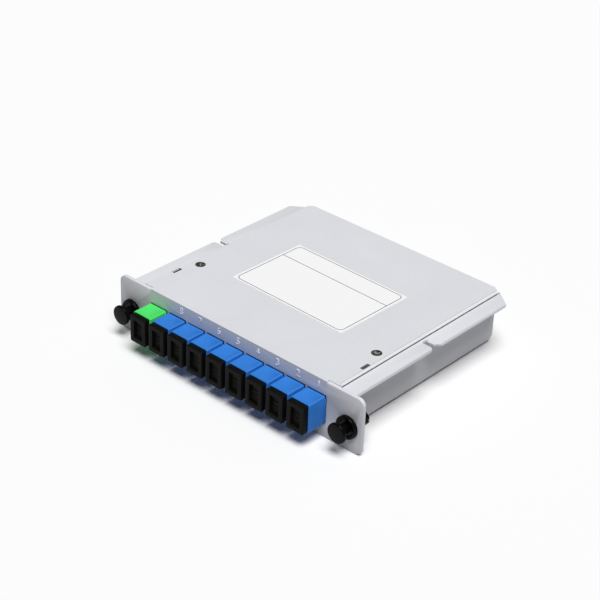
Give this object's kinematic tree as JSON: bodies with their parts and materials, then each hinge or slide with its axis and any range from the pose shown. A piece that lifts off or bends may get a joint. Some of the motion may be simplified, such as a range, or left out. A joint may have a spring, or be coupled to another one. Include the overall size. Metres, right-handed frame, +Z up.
{
  "type": "fibre optic splitter",
  "caption": "Plug-in fibre optic splitter module: flat folded-metal case with a front panel of square ports, pull-off dust caps and push-pull latches.",
  "frame": {"origin": "on the surface that the module lies on, under the middle of its outer box", "axes": "+X along the front panel, to the right as seen from in front of the ports; +Y from the ports to the back of the case; +Z up through the lid"},
  "size_m": [0.13, 0.1128, 0.0251],
  "materials": {
    "case_metal": "light grey satin powder coat",
    "screw_black": "black, semi-gloss",
    "bracket_steel": "plain",
    "label_white": "white paper film, matt",
    "module_steel": "satin",
    "foam_grey": "matt foam",
    "fibre_yellow": "smooth jacket",
    "saddle_white": "moulded nylon",
    "clip_steel": "bright spring steel",
    "latch_black": "glossy moulded nylon",
    "adapter_green": "moulded, satin",
    "adapter_blue": "moulded, satin",
    "cap_black": "moulded, matt",
    "ceramic_white": "polished ceramic",
    "connector_green": "moulded",
    "connector_blue": "moulded",
    "boot_white": "soft, matt"
  },
  "bodies": {
    "case": {"cover": "case_metal", "base_tray": "case_metal", "cover_screws": "screw_black", "screw_bracket_left": "bracket_steel", "screw_bracket_right": "bracket_steel", "label": "label_white", "latch_grommet_left": "latch_black", "latch_grommet_right": "latch_black", "adapter_in": "adapter_green", "adapter_8": "adapter_blue", "adapter_7": "adapter_blue", "adapter_6": "adapter_blue", "adapter_5": "adapter_blue", "adapter_4": "adapter_blue", "adapter_3": "adapter_blue", "adapter_2": "adapter_blue", "adapter_1": "adapter_blue", "adapter_clips": "clip_steel", "sleeve_in": "ceramic_white", "sleeve_8": "ceramic_white", "sleeve_7": "ceramic_white", "sleeve_6": "ceramic_white", "sleeve_5": "ceramic_white", "sleeve_4": "ceramic_white", "sleeve_3": "ceramic_white", "sleeve_2": "ceramic_white", "sleeve_1": "ceramic_white", "rear_connector_in": "connector_green", "rear_connector_8": "connector_blue", "rear_connector_7": "connector_blue", "rear_connector_6": "connector_blue", "rear_connector_5": "connector_blue", "rear_connector_4": "connector_blue", "rear_connector_3": "connector_blue", "rear_connector_2": "connector_blue", "rear_connector_1": "connector_blue", "boot_in": "boot_white", "boot_8": "boot_white", "boot_7": "boot_white", "boot_6": "boot_white", "boot_5": "boot_white", "boot_4": "boot_white", "boot_3": "boot_white", "boot_2": "boot_white", "boot_1": "boot_white", "fibre_coil": "fibre_yellow", "splitter_module": "module_steel", "module_pad": "foam_grey", "coil_saddles": "saddle_white"},
    "plunger_left": {"latch_plunger_left": "latch_black"},
    "plunger_right": {"latch_plunger_right": "latch_black"},
    "cap_in": {"dust_cap_in": "cap_black"},
    "cap_8": {"dust_cap_8": "cap_black"},
    "cap_7": {"dust_cap_7": "cap_black"},
    "cap_6": {"dust_cap_6": "cap_black"},
    "cap_5": {"dust_cap_5": "cap_black"},
    "cap_4": {"dust_cap_4": "cap_black"},
    "cap_3": {"dust_cap_3": "cap_black"},
    "cap_2": {"dust_cap_2": "cap_black"},
    "cap_1": {"dust_cap_1": "cap_black"}
  },
  "joints": [
    {"name": "latch_left_push", "type": "slide", "parent": "case", "child": "plunger_left", "axis": [0, 1, 0], "range_m": [0, 0.0034]},
    {"name": "latch_right_push", "type": "slide", "parent": "case", "child": "plunger_right", "axis": [0, 1, 0], "range_m": [0, 0.0034]},
    {"name": "dust_cap_in_pull", "type": "slide", "parent": "case", "child": "cap_in", "axis": [0, -1, 0], "range_m": [0, 0.02]},
    {"name": "dust_cap_8_pull", "type": "slide", "parent": "case", "child": "cap_8", "axis": [0, -1, 0], "range_m": [0, 0.02]},
    {"name": "dust_cap_7_pull", "type": "slide", "parent": "case", "child": "cap_7", "axis": [0, -1, 0], "range_m": [0, 0.02]},
    {"name": "dust_cap_6_pull", "type": "slide", "parent": "case", "child": "cap_6", "axis": [0, -1, 0], "range_m": [0, 0.02]},
    {"name": "dust_cap_5_pull", "type": "slide", "parent": "case", "child": "cap_5", "axis": [0, -1, 0], "range_m": [0, 0.02]},
    {"name": "dust_cap_4_pull", "type": "slide", "parent": "case", "child": "cap_4", "axis": [0, -1, 0], "range_m": [0, 0.02]},
    {"name": "dust_cap_3_pull", "type": "slide", "parent": "case", "child": "cap_3", "axis": [0, -1, 0], "range_m": [0, 0.02]},
    {"name": "dust_cap_2_pull", "type": "slide", "parent": "case", "child": "cap_2", "axis": [0, -1, 0], "range_m": [0, 0.02]},
    {"name": "dust_cap_1_pull", "type": "slide", "parent": "case", "child": "cap_1", "axis": [0, -1, 0], "range_m": [0, 0.02]}
  ]
}
